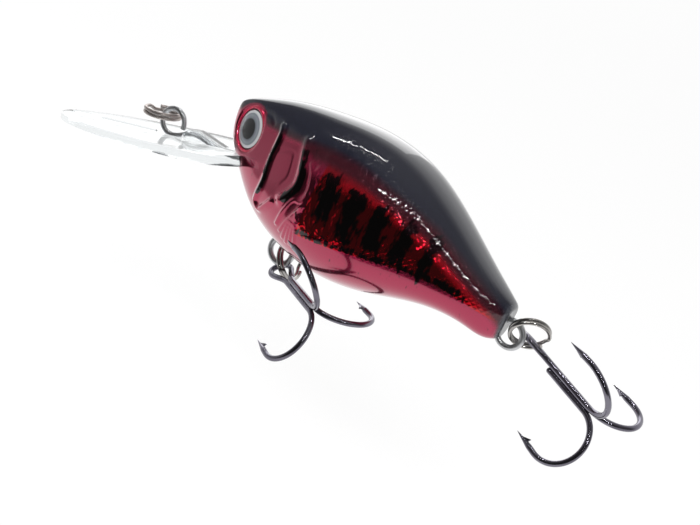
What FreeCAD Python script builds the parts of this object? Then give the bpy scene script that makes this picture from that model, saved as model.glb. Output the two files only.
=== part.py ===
import FreeCAD, Part
import math
import os

from FreeCAD import Matrix, Placement, Rotation, Vector

# Deep-diving crankbait, 50 mm class, millimetres.
# Frame: +X runs forward to the tip of the diving lip, +Y is the lure's left, +Z is up.
# Origin: the middle of the wire eye on the lip, where the fishing line is tied.

# ---------------------------------------------------------------- driving dimensions
NOSE_X = -9.45            # foremost point of the moulded body
NOSE_Z = 8.4
BODY_LENGTH = 51.2
WATERLINE_Z = 4.6         # level at which the body is widest
SECTION_EXPONENT = 2.3    # 2 is an ellipse, more is squarer shoulders
WALL = 1.3                # moulded wall of the two body halves
RIB_ROOT = 0.3            # how deep the inner ribs run into the wall

# Lines of the body: distance behind the nose, top, bottom, half width.
BODY_LINES = (
    (1.2, 10.0, 3.4, 1.2),
    (4.0, 11.6, 0.7, 2.9),
    (9.0, 13.8, -3.2, 5.2),
    (16.0, 15.7, -5.6, 7.9),
    (24.0, 16.7, -5.95, 9.4),
    (32.0, 15.45, -3.9, 9.0),
    (40.0, 11.8, -0.75, 6.7),
    (46.5, 8.3, -0.05, 4.4),
    (50.0, 6.7, 0.15, 2.6),
    (51.2, 6.15, 0.9, 1.9),
)

WIRE_R = 0.45             # hanger wire
TIE_WIRE_R = 0.4
EYE_LOOP_R = 1.9          # centre line of the hanger loops
TIE_LOOP_R = 2.0          # centre line of the line-tie loop

LIP_SLOPE = -0.345        # fall of the lip for each millimetre forward
LIP_TOP_Z = -2.2          # lip's top face below the origin
LIP_TIP = 19.8            # measured along the lip from the origin
LIP_HALF_WIDTH = 8.7
LIP_WIDEST = -4.0         # where the shoulders end and the elliptical blade begins
LIP_ROOT_THICK = 1.6
LIP_TIP_THICK = 0.9

RING_R = 2.7              # split rings, centre line
RING_WIRE_R = 0.27
RING_PITCH = 0.57
RING_RAMP = 34.0          # degrees over which one coil climbs to the next
RING_END_GAP = 5.0        # degrees left open at each cut end
RING_STEPS = 72

HOOK_WIRE_R = 0.425       # size 6 round-bend treble
HOOK_LENGTH = 17.45       # eye centre to the bottom of the bend
HOOK_BEND_R = 4.33
HOOK_POINT_HEIGHT = 8.4
HOOK_POINT_TAPER = 2.9
HOOK_SHANK_OFFSET = 0.5
HOOK_EYE_R = 1.5
HOOK_EYE_END = 4.0        # where the eye has closed into the shank
HOOK_LEAN = 3.0           # degrees that the point turns in towards the shank
POINT_END_R = 0.03
BARB_THICK = 0.26
THIRD_HOOK_START = 5.2    # the brazed hook begins this far below the eye

EYE_DISC_R = 3.0
EYE_DISC_THICK = 0.4
EYE_DOME_HEIGHT = 1.15
EYE_SOCKET_GAP = 0.05

BALL_R = 2.0
CHAMBER_GAP = 0.3
CHAMBER_WALL = 0.8

os.makedirs("parts", exist_ok=True)


# ---------------------------------------------------------------- small helpers
def save(name, shape):
    """Write one node as its own STEP file."""
    shape.exportStep("parts/%s.step" % name)


def unit(v):
    """Copy of a vector at length one."""
    w = Vector(v)
    w.normalize()
    return w


def frame_at(origin, x_axis, z_axis):
    """Placement with its Z along z_axis and its X as near to x_axis as it can be."""
    z = unit(z_axis)
    y = unit(z.cross(x_axis))
    x = y.cross(z)
    return Placement(Matrix(x.x, y.x, z.x, origin.x, x.y, y.y, z.y, origin.y,
                            x.z, y.z, z.z, origin.z, 0, 0, 0, 1))


def place(shape, placement):
    """Copy of a shape moved by a placement."""
    moved = shape.copy()
    moved.transformShape(placement.toMatrix())
    return moved


def spline(points, start=None, end=None):
    """Smooth edge through points, with end directions when they are given."""
    curve = Part.BSplineCurve()
    if start is None:
        curve.interpolate(points)
    else:
        curve.interpolate(Points=points, InitialTangent=start, FinalTangent=end)
    return curve.toShape()


def wire_solid(edges, radius):
    """Round wire swept along joined edges, with flat ends."""
    path = Part.Wire(Part.__sortEdges__(edges))
    first = path.OrderedEdges[0]
    at = first.valueAt(first.FirstParameter)
    along = first.tangentAt(first.FirstParameter)
    if first.Orientation == "Reversed":
        at = first.valueAt(first.LastParameter)
        along = first.tangentAt(first.LastParameter) * -1
    ring = Part.Wire(Part.makeCircle(radius, at, along))
    return path.makePipeShell([ring], True, False)


def box(x0, x1, y0, y1, z0, z1):
    """Box between two corners."""
    return Part.makeBox(x1 - x0, y1 - y0, z1 - z0, Vector(x0, y0, z0))


def rod(start, end, radius):
    """Round bar from start to end."""
    axis = end - start
    return Part.makeCylinder(radius, axis.Length, start, axis)


# ---------------------------------------------------------------- body lines
class SmoothLine:
    """Natural cubic through (distance, value) pairs, taken over the root of the distance
    so that the nose comes out round."""

    def __init__(self, pairs):
        self.u = [math.sqrt(d) for d, _ in pairs]
        self.v = [value for _, value in pairs]
        n = len(pairs)
        gaps = [self.u[i + 1] - self.u[i] for i in range(n - 1)]
        lower, diagonal, upper, right = [0.0] * n, [1.0] * n, [0.0] * n, [0.0] * n
        for i in range(1, n - 1):
            lower[i] = gaps[i - 1]
            upper[i] = gaps[i]
            diagonal[i] = 2 * (gaps[i - 1] + gaps[i])
            after = (self.v[i + 1] - self.v[i]) / gaps[i]
            before = (self.v[i] - self.v[i - 1]) / gaps[i - 1]
            right[i] = 6 * (after - before)
        for i in range(1, n):
            share = lower[i] / diagonal[i - 1]
            diagonal[i] -= share * upper[i - 1]
            right[i] -= share * right[i - 1]
        self.m = [0.0] * n
        for i in reversed(range(n)):
            ahead = upper[i] * self.m[i + 1] if i + 1 < n else 0.0
            self.m[i] = (right[i] - ahead) / diagonal[i]

    def at(self, distance):
        u = math.sqrt(distance)
        i = 0
        while i < len(self.u) - 2 and u > self.u[i + 1]:
            i += 1
        gap = self.u[i + 1] - self.u[i]
        a = (self.u[i + 1] - u) / gap
        b = 1 - a
        bend = ((a ** 3 - a) * self.m[i] + (b ** 3 - b) * self.m[i + 1]) * gap * gap / 6
        return a * self.v[i] + b * self.v[i + 1] + bend


TOP_LINE = SmoothLine([(0, NOSE_Z)] + [(d, top) for d, top, _, _ in BODY_LINES])
BOTTOM_LINE = SmoothLine([(0, NOSE_Z)] + [(d, bottom) for d, _, bottom, _ in BODY_LINES])
WIDTH_LINE = SmoothLine([(0, 0)] + [(d, width) for d, _, _, width in BODY_LINES])
STATIONS = (0.25, 1.0, 2.6, 5.0, 8.5, 13.0, 18.5, 24.5, 30.5, 36.5, 42.0, 46.5, 49.6, 51.2)
SECTION_POINTS = 28


def widest_level(distance):
    """Height of the widest place of a section, from the nose down to the waterline."""
    share = min(math.sqrt(distance) / 3.0, 1.0)
    level = NOSE_Z + (WATERLINE_Z - NOSE_Z) * share
    return min(max(level, BOTTOM_LINE.at(distance)), TOP_LINE.at(distance))


def section(distance, inset):
    """Closed smooth outline of the body across X, drawn inset inside the skin."""
    top = TOP_LINE.at(distance) - inset
    bottom = BOTTOM_LINE.at(distance) + inset
    width = WIDTH_LINE.at(distance) - inset
    level = widest_level(distance)
    points = []
    for i in range(SECTION_POINTS):
        turn = 2 * math.pi * i / SECTION_POINTS
        c, s = math.cos(turn), math.sin(turn)
        side = math.copysign(abs(c) ** (2 / SECTION_EXPONENT), c) * width
        height = top - level if s > 0 else level - bottom
        rise = math.copysign(abs(s) ** (2 / SECTION_EXPONENT), s) * height
        points.append(Vector(NOSE_X - distance, side, level + rise))
    curve = Part.BSplineCurve()
    curve.interpolate(Points=points, PeriodicFlag=True)
    return Part.Wire(curve.toShape())


def body_solid(distances, inset=0.0):
    """Solid through the sections at these distances behind the nose."""
    return Part.makeLoft([section(d, inset) for d in distances], True, False)


# ---------------------------------------------------------------- bought and bent pieces
def hanger_path(centre, inward, foot):
    """Centre line of a wire hanger: two feet, a neck and a round loop outside the body."""
    up = unit(inward)
    across = Vector(0, 1, 0).cross(up)
    outline = [(-foot, 4.75), (-foot * 0.55, 4.65), (-0.66, 3.6), (-0.62, 2.7)]
    for degrees in range(125, 416, 29):
        turn = math.radians(degrees)
        outline.append((EYE_LOOP_R * math.cos(turn), EYE_LOOP_R * math.sin(turn)))
    outline += [(0.62, 2.7), (0.66, 3.6), (foot * 0.55, 4.65), (foot, 4.75)]
    return spline([centre + across * a + up * b for a, b in outline])


def tie_path():
    """Centre line of the line-tie wire: buried end, run through the rib, and a loop round the
    origin whose cut end comes back to the run."""
    run = [(-15.6, 2.3), (-12.6, 1.2), (-10.2, 0.6), (-7.6, 0.45), (-5.2, 0.42),
           (-3.5, -0.12), (-2.1, -1.17), (-0.95, -1.8)]
    for degrees in range(270, 546, 25):
        turn = math.radians(degrees)
        run.append((TIE_LOOP_R * math.cos(turn), TIE_LOOP_R * math.sin(turn)))
    return spline([Vector(x, 0, z) for x, z in run])


def split_ring():
    """Two-turn key ring about Z: two flat coils joined by a short ramp, ends left free."""
    ramp = math.radians(RING_RAMP)
    start = math.radians(RING_END_GAP)
    total = 4 * math.pi - ramp - 2 * start
    points = []
    for i in range(RING_STEPS + 1):
        turn = start + (total - start) * i / RING_STEPS
        share = min(max((turn - (2 * math.pi - ramp)) / ramp, 0.0), 1.0)
        height = RING_PITCH * (share * share * (3 - 2 * share) - 0.5)
        points.append(Vector(RING_R * math.cos(turn), RING_R * math.sin(turn), height))
    return wire_solid([spline(points)], RING_WIRE_R)


def hook_point(heading, inner, base):
    """Tapered point with its barb, from the end of the wire at base."""
    point = Part.makeCone(HOOK_WIRE_R, POINT_END_R, HOOK_POINT_TAPER, base, heading)
    side = heading.cross(inner)
    profile = ((HOOK_POINT_TAPER - 1.1, 0.1), (0.55, 0.78), (0.7, 0.0))
    corners = [base + heading * a + inner * b - side * BARB_THICK / 2 for a, b in profile]
    face = Part.Face(Part.makePolygon(corners + corners[:1]))
    return point.fuse(face.extrude(side * BARB_THICK))


def hook_leg(degrees, shank_start):
    """Edges of one hook's shank, bend and point leg, and where the point begins."""
    turn = math.radians(degrees)
    out = Vector(math.cos(turn), math.sin(turn), 0)
    down = Vector(0, 0, 1)
    bend_z = HOOK_LENGTH - HOOK_BEND_R
    lean = math.radians(HOOK_LEAN)
    centre = out * (HOOK_SHANK_OFFSET + HOOK_BEND_R) + down * bend_z

    def on_bend(angle):
        return centre + out * (-HOOK_BEND_R * math.cos(angle)) + down * (HOOK_BEND_R * math.sin(angle))

    start = out * HOOK_SHANK_OFFSET + down * shank_start
    bend_end = on_bend(math.pi + lean)
    heading = unit(down * -math.cos(lean) - out * math.sin(lean))
    leg = HOOK_POINT_HEIGHT - HOOK_BEND_R - HOOK_POINT_TAPER
    point_base = bend_end + heading * leg
    edges = [
        Part.makeLine(start, on_bend(0)),
        Part.Arc(on_bend(0), on_bend((math.pi + lean) / 2), bend_end).toShape(),
        Part.makeLine(bend_end, point_base),
    ]
    inner = unit(out * -math.cos(lean) + down * math.sin(lean))
    return edges, hook_point(heading, inner, point_base)


def double_hook():
    """Two hooks bent from one wire, with the treble's eye between them; eye centre at origin."""
    first, first_point = hook_leg(0, HOOK_EYE_END)
    second, second_point = hook_leg(120, HOOK_EYE_END)
    a = first[0].Vertexes[0].Point
    b = second[0].Vertexes[0].Point
    chord = unit(b - a)
    middle = (a + b) * 0.5
    middle.z = 0
    half = a.distanceToPoint(b) / 2
    outline = [(-half, HOOK_EYE_END), (-half - 0.1, 3.0), (-1.16, 1.35), (-HOOK_EYE_R, 0.1),
               (-1.06, -1.08), (0, -HOOK_EYE_R), (1.06, -1.08), (HOOK_EYE_R, 0.1),
               (1.16, 1.35), (half + 0.1, 3.0), (half, HOOK_EYE_END)]
    points = [middle + chord * p + Vector(0, 0, z) for p, z in outline]
    eye = spline(points, Vector(0, 0, -1), Vector(0, 0, 1))
    wire = wire_solid(first + [eye] + second, HOOK_WIRE_R)
    return wire.fuse([first_point, second_point]).removeSplitter()


def single_hook():
    """Third hook, brazed into the groove between the other two shanks."""
    edges, point = hook_leg(240, THIRD_HOOK_START)
    start = edges[0].Vertexes[0].Point
    nose = Part.makeSphere(HOOK_WIRE_R, start)
    return wire_solid(edges, HOOK_WIRE_R).fuse([point, nose]).removeSplitter()


# ---------------------------------------------------------------- lip and wire
LIP_FORWARD = unit(Vector(1, 0, LIP_SLOPE))
LIP_UP = unit(Vector(-LIP_SLOPE, 0, 1))
LIP_AT = Placement(Matrix(LIP_FORWARD.x, 0, LIP_UP.x, 0, 0, 1, 0, 0,
                          LIP_FORWARD.z, 0, LIP_UP.z, LIP_TOP_Z, 0, 0, 0, 1))
TONGUE_BACK = -18.6
TONGUE_NECK = -17.2
TONGUE_HALF = 2.0
TONGUE_HEAD_HALF = 3.0
LIP_BACK = -15.6
LIP_ROOT = -13.0
RIB_HALF = 1.0
SPINE = (2.2, 18.6)       # low stiffening ridge along the middle of the blade
SPINE_HALF = 0.55
SPINE_HEIGHT = 0.3


def lip_outline():
    """Flat outline of the lip: T-headed tongue, round shoulders and an elliptical blade."""
    head = [(TONGUE_BACK, 0), (TONGUE_BACK, TONGUE_HEAD_HALF), (TONGUE_NECK, TONGUE_HEAD_HALF),
            (TONGUE_NECK, TONGUE_HALF), (LIP_BACK, TONGUE_HALF)]
    shoulder = [(LIP_BACK, TONGUE_HALF), (-14.7, 4.4), (-12.9, 6.6), (-9.4, 8.2),
                (LIP_WIDEST, LIP_HALF_WIDTH)]
    edges = []
    for side in (1, -1):
        corners = [Vector(u, v * side, 0) for u, v in head]
        edges += [Part.makeLine(p, q) for p, q in zip(corners, corners[1:])]
        edges.append(spline([Vector(u, v * side, 0) for u, v in shoulder],
                            Vector(0, side, 0), Vector(1, 0, 0)))
    middle = Vector(LIP_WIDEST, 0, 0)
    ellipse = Part.Ellipse(Vector(LIP_TIP, 0, 0), middle + Vector(0, LIP_HALF_WIDTH, 0), middle)
    edges.append(Part.ArcOfEllipse(ellipse, -math.pi / 2, math.pi / 2).toShape())
    return Part.Wire(Part.__sortEdges__(edges))


def lip_blank():
    """The lip before its wire is moulded in: tapered plate, rib round the wire and low spine."""
    plate = Part.Face(lip_outline()).extrude(Vector(0, 0, -LIP_ROOT_THICK))
    waste = [Vector(LIP_ROOT, -20, -LIP_ROOT_THICK), Vector(LIP_TIP + 1, -20, -LIP_TIP_THICK),
             Vector(LIP_TIP + 1, -20, -LIP_ROOT_THICK - 1), Vector(LIP_ROOT, -20, -LIP_ROOT_THICK - 1)]
    wedge = Part.Face(Part.makePolygon(waste + waste[:1])).extrude(Vector(0, 40, 0))
    start, end = SPINE
    crest = [Vector(start, -SPINE_HALF, -SPINE_HEIGHT), Vector(start, 0, SPINE_HEIGHT),
             Vector(start, SPINE_HALF, -SPINE_HEIGHT)]
    spine = Part.Face(Part.makePolygon(crest + crest[:1])).extrude(Vector(end - start, 0, 0))
    plate = place(plate.cut(wedge).fuse(spine), LIP_AT)
    ridge = [(-15.0, 1.4), (-11.0, 1.25), (-5.0, 1.2), (-3.5, 0.65), (-2.9, -0.2),
             (-2.9, -1.6), (-15.0, 2.6)]
    corners = [Vector(x, -RIB_HALF, z) for x, z in ridge]
    rib = Part.Face(Part.makePolygon(corners + corners[:1])).extrude(Vector(0, 2 * RIB_HALF, 0))
    return plate.fuse(rib).removeSplitter()


# ---------------------------------------------------------------- eyes
EYE_BACK = 4.1            # behind the nose
EYE_Z = 6.85
EYE_SINK = 0.62           # disc face below the skin at its middle
BEZEL_R = 3.45
BEZEL_RISE = 0.35         # rim's height over the disc face


def skin_point(distance, z):
    """Point of the left flank at a distance behind the nose and a height."""
    level = widest_level(distance)
    height = TOP_LINE.at(distance) - level if z > level else level - BOTTOM_LINE.at(distance)
    share = min(abs(z - level) / height, 1.0)
    side = WIDTH_LINE.at(distance) * (1 - share ** SECTION_EXPONENT) ** (1 / SECTION_EXPONENT)
    return Vector(NOSE_X - distance, side, z)


def skin_normal(distance, z):
    """Outward direction of the left flank there."""
    step = 0.4
    along = skin_point(distance - step, z) - skin_point(distance + step, z)
    rise = skin_point(distance, z + step) - skin_point(distance, z - step)
    return unit(rise.cross(along))


EYE_NORMAL = skin_normal(EYE_BACK, EYE_Z)
EYE_SEAT = skin_point(EYE_BACK, EYE_Z) - EYE_NORMAL * (EYE_SINK + EYE_DISC_THICK)
EYE_FRONT = EYE_SEAT + EYE_NORMAL * EYE_DISC_THICK


def eye_dome():
    """Clear cap over the disc: a slice of a sphere."""
    ball_r = (EYE_DISC_R ** 2 + EYE_DOME_HEIGHT ** 2) / (2 * EYE_DOME_HEIGHT)
    ball = Part.makeSphere(ball_r, EYE_FRONT + EYE_NORMAL * (EYE_DOME_HEIGHT - ball_r))
    return ball.common(Part.makeCylinder(EYE_DISC_R, 2 * EYE_DOME_HEIGHT, EYE_FRONT, EYE_NORMAL))


# ---------------------------------------------------------------- where things are
BELLY_HANGER = Vector(-25.4, 0, -7.2)
TAIL_HANGER = Vector(-61.6, 0, 2.3)
TAIL_INWARD = Vector(1, 0, 0.25)
BELLY_FOOT = 2.6
TAIL_FOOT = 1.9
GROOVE_GAP = 0.05

INNER_FRONT = 9.0         # the nose is solid as far back as this
INNER_BACK = 42.0         # and the tail from here
FRONT_BALL = Vector(-28.0, 0, 6.0)
REAR_BALL = Vector(-40.5, 0, 5.5)
CHAMBERS = ((FRONT_BALL, 6.3), (REAR_BALL, 7.0))
BORE_R = BALL_R + CHAMBER_GAP

WEIGHT_R = 2.1
WEIGHT_FRONT = -30.6
WEIGHT_BACK = -38.6
WEIGHT_Z = -2.1
WEIGHT_EDGE_R = 0.8
CRADLES = (-31.6, -37.6)
CRADLE_HALF = 0.5
HANGER_BLOCK = (-28.9, -21.9, -2.2, 2.2, -8.0, -0.9)

PEG_R = 0.8
PEG_LENGTH = 1.6
PEG_HOLE = 1.8
PEG_ROOT = 0.5
PEG_BOSS_R = 1.6
PEGS = ((-22.4, 11.2), (-47.2, 8.4), (-46.2, 2.6), (-20.6, 0.6))

PAST = 20.0               # further sideways than any part of the body


def keel_weight():
    """Round slug with rounded ends."""
    slug = rod(Vector(WEIGHT_BACK, 0, WEIGHT_Z), Vector(WEIGHT_FRONT, 0, WEIGHT_Z), WEIGHT_R)
    return slug.makeFillet(WEIGHT_EDGE_R, [edge for edge in slug.Edges if len(edge.Vertexes) == 1])


def inner_parts(void):
    """Ribs, tubes and bosses inside the body, trimmed to its hollow."""
    parts = []
    for centre, _ in CHAMBERS:
        reach = Vector(0, PAST, 0)
        parts.append(rod(centre - reach, centre + reach, BORE_R + CHAMBER_WALL))
    parts.append(box(*HANGER_BLOCK))
    for x in CRADLES:
        parts.append(box(x - CRADLE_HALF, x + CRADLE_HALF, -PAST, PAST, -PAST, WEIGHT_Z + 0.6))
    for x, z in PEGS:
        parts.append(rod(Vector(x, -PAST, z), Vector(x, PAST, z), PEG_BOSS_R))
    return [part.common(void) for part in parts]


def body_halves(lip, wires):
    """Left and right halves of the body, hollow, with everything they hold cut out of them."""
    outer = body_solid(STATIONS)
    middle = [d for d in STATIONS if INNER_FRONT < d < INNER_BACK]
    void = body_solid([INNER_FRONT] + middle + [INNER_BACK], WALL)
    room = body_solid([INNER_FRONT] + middle + [INNER_BACK], WALL - RIB_ROOT)
    body = outer.cut(void).fuse(inner_parts(room))
    for centre, end in CHAMBERS:
        body = body.cut(rod(centre - Vector(0, end, 0), centre + Vector(0, end, 0), BORE_R))
    body = body.cut(rod(Vector(WEIGHT_BACK, 0, WEIGHT_Z), Vector(WEIGHT_FRONT, 0, WEIGHT_Z),
                        WEIGHT_R + GROOVE_GAP))
    bezel = Part.makeCylinder(BEZEL_R, EYE_DISC_THICK + BEZEL_RISE, EYE_SEAT, EYE_NORMAL)
    socket = Part.makeCylinder(EYE_DISC_R + EYE_SOCKET_GAP, PAST, EYE_SEAT, EYE_NORMAL)
    flip = Vector(0, 1, 0)
    body = body.fuse([bezel, bezel.mirror(Vector(), flip)])
    body = body.cut([socket, socket.mirror(Vector(), flip), lip] + wires)
    halves = []
    for side in (1, -1):
        low, high = min(0, side * PAST), max(0, side * PAST)
        halves.append(body.common(box(-4 * PAST, PAST, low, high, -PAST, 2 * PAST)))
    left, right = halves
    for x, z in PEGS:
        left = left.cut(rod(Vector(x, 0, z), Vector(x, PEG_HOLE, z), PEG_R + GROOVE_GAP))
        right = right.fuse(rod(Vector(x, -PEG_ROOT, z), Vector(x, PEG_LENGTH, z), PEG_R))
    return left, right.removeSplitter()


# ---------------------------------------------------------------- the nodes
tie_wire = wire_solid([tie_path()], TIE_WIRE_R)
belly_path = hanger_path(BELLY_HANGER, Vector(0, 0, 1), BELLY_FOOT)
tail_path = hanger_path(TAIL_HANGER, TAIL_INWARD, TAIL_FOOT)
grooves = [wire_solid([path], WIRE_R + GROOVE_GAP) for path in (belly_path, tail_path)]
blank = lip_blank()
left_half, right_half = body_halves(blank, grooves)

save("left_shell", left_half)
save("right_shell", right_half)
save("diving_lip", blank.cut(tie_wire))
save("line_tie_wire", tie_wire)
save("belly_hanger", wire_solid([belly_path], WIRE_R))
save("tail_hanger", wire_solid([tail_path], WIRE_R))
save("keel_weight", keel_weight())
save("front_rattle_ball", Part.makeSphere(BALL_R, FRONT_BALL))
save("rear_rattle_ball", Part.makeSphere(BALL_R, REAR_BALL))
for shape, name in ((Part.makeCylinder(EYE_DISC_R, EYE_DISC_THICK, EYE_SEAT, EYE_NORMAL), "eye_disc"),
                    (eye_dome(), "eye_dome")):
    save("left_" + name, shape)
    save("right_" + name, shape.mirror(Vector(), Vector(0, 1, 0)))

# Rings and trebles as they lie with the lure set down: trailing back and out to its left.
ring_shape = split_ring()
RINGS = (
    ("line_tie_ring", Vector(2.3, 0, 0.25), Vector(0.207, 0, 0.978), Vector(1, 0, 0)),
    ("belly_split_ring", Vector(-26.52, -1.86, -8.62), Vector(-0.794, 0.006, 0.608), Vector(0, -1, 0)),
    ("tail_split_ring", Vector(-63.85, -0.59, 3.71), Vector(-0.515, 0.722, -0.462), Vector(-1, 0, 0)),
)
for name, centre, normal, gap_side in RINGS:
    save(name, place(ring_shape, frame_at(centre, gap_side, normal)))

pair, third = double_hook(), single_hook()
TREBLES = (
    ("belly", Vector(-26.74, 0.42, -9.52), Vector(-0.791, 0.599, 0.127), Vector(0.1, 0.444, -0.89), 0),
    ("tail", Vector(-64.12, -2.49, 1.91), Vector(-0.916, 0.393, -0.085), Vector(0.239, 0.364, -0.9), 120),
)
for name, eye, shank, first_hook, turn in TREBLES:
    spin = Placement(Vector(), Rotation(Vector(0, 0, 1), turn))
    there = frame_at(eye, first_hook, shank).multiply(spin)
    save(name + "_double_hook", place(pair, there))
    save(name + "_single_hook", place(third, there))
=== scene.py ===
import logging
import math
from dataclasses import dataclass, field
from enum import Enum

import bmesh
import bpy
import numpy as np
from mathutils import Matrix, Vector


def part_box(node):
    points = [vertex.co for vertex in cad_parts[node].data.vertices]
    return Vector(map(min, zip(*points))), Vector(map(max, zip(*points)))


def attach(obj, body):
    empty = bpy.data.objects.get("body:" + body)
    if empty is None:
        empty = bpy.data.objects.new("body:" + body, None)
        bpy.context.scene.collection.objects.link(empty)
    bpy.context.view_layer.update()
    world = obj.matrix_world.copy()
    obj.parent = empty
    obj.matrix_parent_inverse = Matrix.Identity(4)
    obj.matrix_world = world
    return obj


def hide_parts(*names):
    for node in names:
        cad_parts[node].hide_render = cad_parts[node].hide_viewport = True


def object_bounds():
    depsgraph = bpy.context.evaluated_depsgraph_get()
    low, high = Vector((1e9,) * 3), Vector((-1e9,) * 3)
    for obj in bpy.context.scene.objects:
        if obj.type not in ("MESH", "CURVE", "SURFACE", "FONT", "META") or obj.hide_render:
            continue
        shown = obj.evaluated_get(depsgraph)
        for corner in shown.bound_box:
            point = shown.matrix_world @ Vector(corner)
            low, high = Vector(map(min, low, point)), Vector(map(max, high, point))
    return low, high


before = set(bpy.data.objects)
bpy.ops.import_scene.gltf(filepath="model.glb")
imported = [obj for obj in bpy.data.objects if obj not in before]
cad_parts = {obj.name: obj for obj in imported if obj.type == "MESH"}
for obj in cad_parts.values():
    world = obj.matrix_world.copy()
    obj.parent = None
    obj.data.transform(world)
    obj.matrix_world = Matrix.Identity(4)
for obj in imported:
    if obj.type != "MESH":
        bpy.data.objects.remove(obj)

cad_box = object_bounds()
log = logging.getLogger("crankbait")
# A millimetre, and the distance within which points are one, in metres.
MM = 0.001
WELD = 1e-6

Points = tuple[tuple[float, float], ...]
Span = tuple[float, float]
Place = tuple[float, float, float]


class Side(Enum):
    """Which flank of the lure a piece is on."""

    LEFT = 1
    RIGHT = -1

    @property
    def word(self) -> str:
        """Lower-case word for names."""
        return self.name.lower()


# ---------------------------------------------------------------- small helpers
def linear(hex_code: str) -> tuple[float, float, float, float]:
    """Turn an sRGB hex colour into linear values.

    Args:
        hex_code: colour such as "a01830".

    Returns:
        Linear red, green and blue, and an alpha of one.
    """
    parts = [int(hex_code[i:i + 2], 16) / 255 for i in (0, 2, 4)]
    flat = [c / 12.92 if c <= 0.04045 else ((c + 0.055) / 1.055) ** 2.4 for c in parts]
    return flat[0], flat[1], flat[2], 1.0


def add_node(tree: bpy.types.NodeTree, kind: str, inputs: dict | None = None,
             **settings: object) -> bpy.types.Node:
    """Add a node with its settings and links.

    Args:
        tree: node tree that gets the node.
        kind: Blender's name for the kind of node.
        inputs: input name or number, with the socket to link or the value to set; a Mix node
            has its factor at 0, its numbers at 2 and 3, and its colours at 6 and 7.
        settings: the node's own properties.

    Returns:
        The new node.
    """
    node = tree.nodes.new(kind)
    for key, value in settings.items():
        setattr(node, key, value)
    for key, value in (inputs or {}).items():
        if isinstance(value, bpy.types.NodeSocket):
            tree.links.new(value, node.inputs[key])
        else:
            node.inputs[key].default_value = value
    return node


def new_material(name: str) -> tuple[bpy.types.Material, bpy.types.NodeTree]:
    """Make an empty node material.

    Args:
        name: material name.

    Returns:
        The material and its node tree.
    """
    material = bpy.data.materials.new(name)
    material.use_nodes = True
    material.node_tree.nodes.clear()
    return material, material.node_tree


def smooth_step(low: float | np.ndarray, high: float | np.ndarray, value: np.ndarray) -> np.ndarray:
    """Ease from 0 at low to 1 at high."""
    share = np.clip((value - low) / (high - low), 0.0, 1.0)
    return share * share * (3 - 2 * share)


def window(rise: Span, fall: Span, value: np.ndarray) -> np.ndarray:
    """Ease from 0 to 1 across the first span, and back to 0 across the second."""
    return smooth_step(*rise, value) * (1 - smooth_step(*fall, value))


def read_line(route: Points, behind: np.ndarray) -> np.ndarray:
    """Values of a line of (distance, value) points at distances behind the nose."""
    return np.interp(behind, *zip(*route))


def to_object(name: str, mesh: bmesh.types.BMesh, material: bpy.types.Material) -> bpy.types.Object:
    """Turn a bmesh, already in place, into a smooth-shaded object with one material.

    Args:
        name: object name.
        mesh: finished bmesh, freed here.
        material: its finish.

    Returns:
        The new object at the origin.
    """
    data = bpy.data.meshes.new(name)
    mesh.to_mesh(data)
    mesh.free()
    data.materials.append(material)
    data.shade_smooth()
    piece = bpy.data.objects.new(name, data)
    bpy.context.scene.collection.objects.link(piece)
    return piece


def dress(node: str, material: bpy.types.Material) -> None:
    """Give a CAD node its material.

    Args:
        node: the node's name.
        material: its finish.
    """
    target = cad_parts[node].data.materials
    target.clear()
    target.append(material)
    log.info("dressed %s in %s", node, material.name)


def turn_on_eye(name: str, outline: Points, steps: int, closed: bool, seat: tuple[Vector, Vector],
                finish: bpy.types.Material) -> bpy.types.Object:
    """Spin an outline about an eye's axis and seat it there.

    Args:
        name: object name.
        outline: radius and height of each point, in millimetres.
        steps: faces round the axis.
        closed: whether the last point joins the first; an open outline starts and ends on the axis.
        seat: middle of the eye's foil and the eye's outward direction.
        finish: the piece's material.

    Returns:
        The new object.
    """
    centre, normal = seat
    piece = bmesh.new()
    chain = [piece.verts.new((radius * MM, 0, height * MM)) for radius, height in outline]
    ends = chain[1:] + (chain[:1] if closed else [])
    edges = [piece.edges.new(pair) for pair in zip(chain, ends)]
    bmesh.ops.spin(piece, geom=chain + edges, cent=(0, 0, 0), axis=(0, 0, 1), angle=2 * math.pi,
                   steps=steps, use_merge=True)
    bmesh.ops.remove_doubles(piece, verts=piece.verts[:], dist=WELD)
    turn = normal.to_track_quat("Z", "Y").to_matrix().to_4x4()
    piece.transform(Matrix.Translation(centre) @ turn)
    bmesh.ops.recalc_face_normals(piece, faces=piece.faces[:])
    return to_object(name, piece, finish)


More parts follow.
